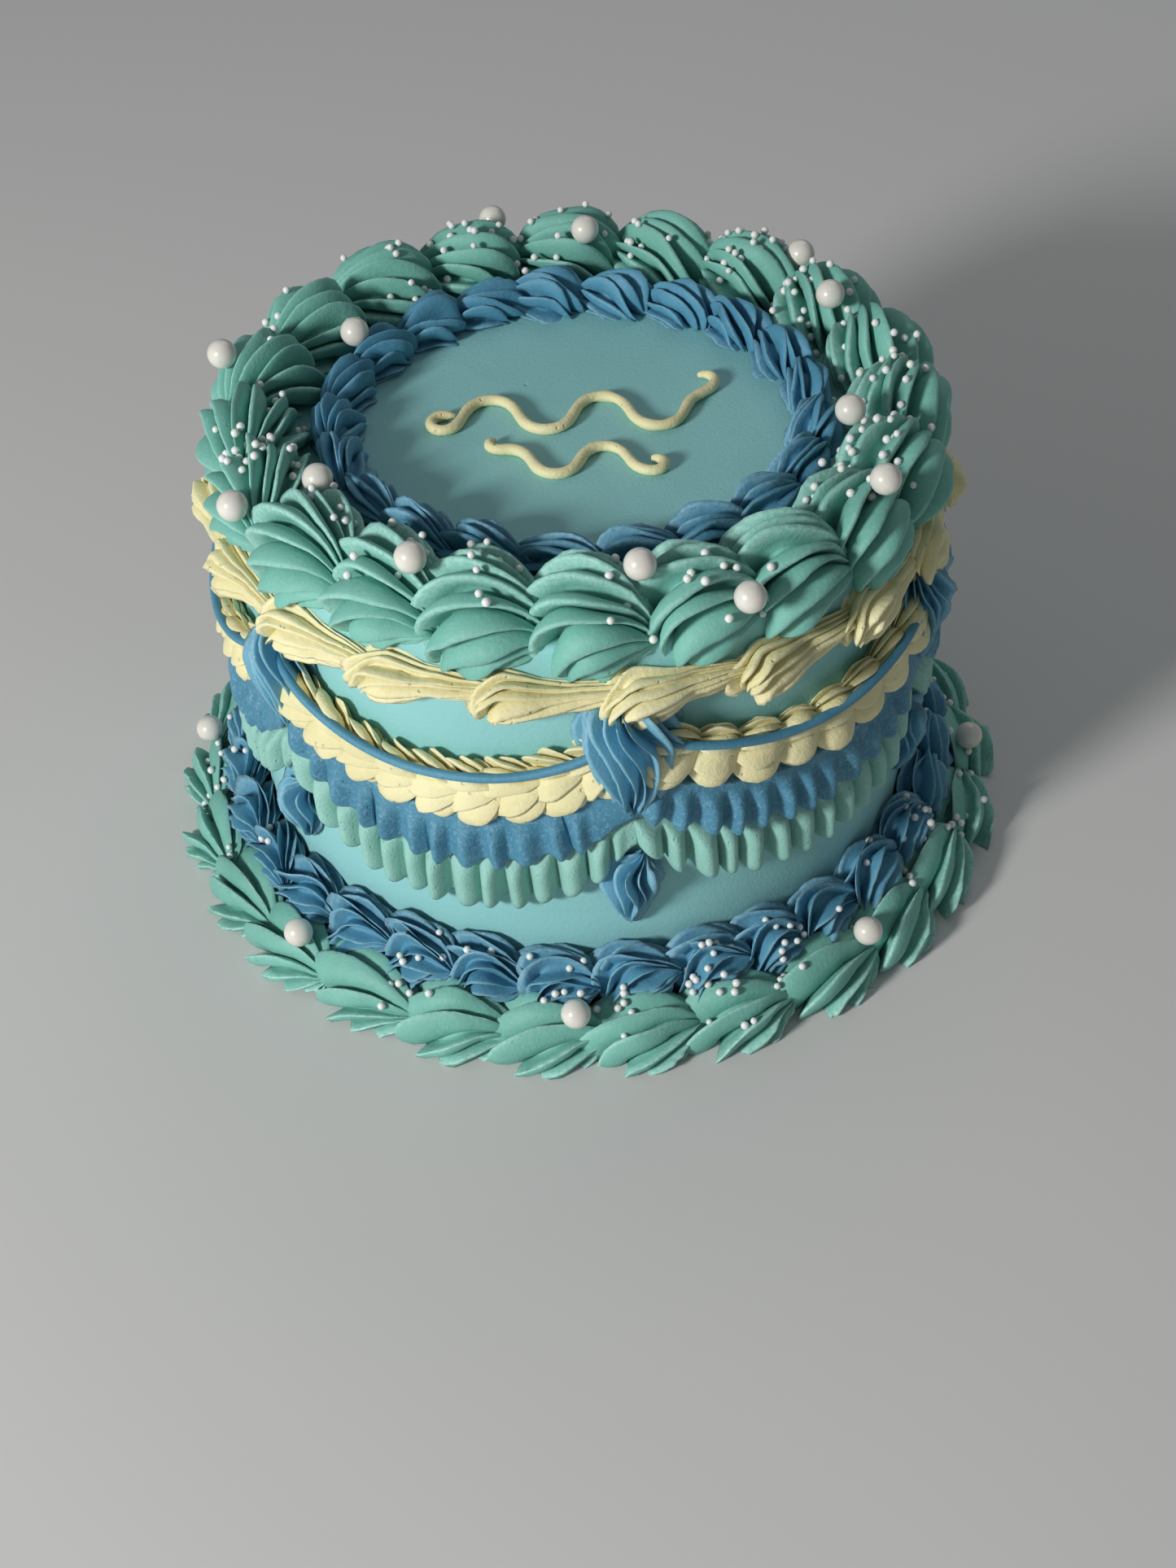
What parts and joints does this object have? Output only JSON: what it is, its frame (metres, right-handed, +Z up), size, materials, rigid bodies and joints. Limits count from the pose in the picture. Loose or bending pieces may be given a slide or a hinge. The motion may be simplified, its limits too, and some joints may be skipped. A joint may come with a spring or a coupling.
{
  "type": "layer cake",
  "caption": "Round iced cake with piped shell borders at top and base, swags of ruffles and string work round the side, piped stars, scroll line work on top and sugar pearls.",
  "frame": {"origin": "centre of the flat underside, on the surface the cake stands on", "axes": "+Z up along the cake's axis, -Y towards the front, where the lower row of the line work on the top faces the viewer"},
  "size_m": [0.2152, 0.2149, 0.1281],
  "materials": {
    "icing_aqua": "satin",
    "icing_teal": "satin",
    "icing_blue": "satin",
    "icing_cream": "satin",
    "sugar_pearl": "pearly gloss"
  },
  "bodies": {
    "root": {"border_base_blue": "icing_blue", "border_base_teal": "icing_teal", "border_top_blue": "icing_blue", "border_top_teal": "icing_teal", "border_top_yellow": "icing_cream", "cake_body": "icing_aqua", "pearl_1": "sugar_pearl", "pearl_10": "sugar_pearl", "pearl_11": "sugar_pearl", "pearl_12": "sugar_pearl", "pearl_13": "sugar_pearl", "pearl_14": "sugar_pearl", "pearl_15": "sugar_pearl", "pearl_16": "sugar_pearl", "pearl_17": "sugar_pearl", "pearl_18": "sugar_pearl", "pearl_19": "sugar_pearl", "pearl_2": "sugar_pearl", "pearl_20": "sugar_pearl", "pearl_21": "sugar_pearl", "pearl_3": "sugar_pearl", "pearl_4": "sugar_pearl", "pearl_5": "sugar_pearl", "pearl_6": "sugar_pearl", "pearl_7": "sugar_pearl", "pearl_8": "sugar_pearl", "pearl_9": "sugar_pearl", "scroll_narrow": "icing_cream", "scroll_wide": "icing_cream", "star_large_1": "icing_blue", "star_large_2": "icing_blue", "star_large_3": "icing_blue", "star_large_4": "icing_blue", "star_large_5": "icing_blue", "star_large_6": "icing_blue", "star_small_1": "icing_blue", "star_small_2": "icing_blue", "star_small_3": "icing_blue", "star_small_4": "icing_blue", "star_small_5": "icing_blue", "star_small_6": "icing_blue", "swag_ruffle_blue_1": "icing_blue", "swag_ruffle_blue_2": "icing_blue", "swag_ruffle_blue_3": "icing_blue", "swag_ruffle_blue_4": "icing_blue", "swag_ruffle_blue_5": "icing_blue", "swag_ruffle_blue_6": "icing_blue", "swag_ruffle_teal_1": "icing_teal", "swag_ruffle_teal_2": "icing_teal", "swag_ruffle_teal_3": "icing_teal", "swag_ruffle_teal_4": "icing_teal", "swag_ruffle_teal_5": "icing_teal", "swag_ruffle_teal_6": "icing_teal", "swag_ruffle_yellow_1": "icing_cream", "swag_ruffle_yellow_2": "icing_cream", "swag_ruffle_yellow_3": "icing_cream", "swag_ruffle_yellow_4": "icing_cream", "swag_ruffle_yellow_5": "icing_cream", "swag_ruffle_yellow_6": "icing_cream", "swag_string": "icing_blue"}
  },
  "joints": []
}
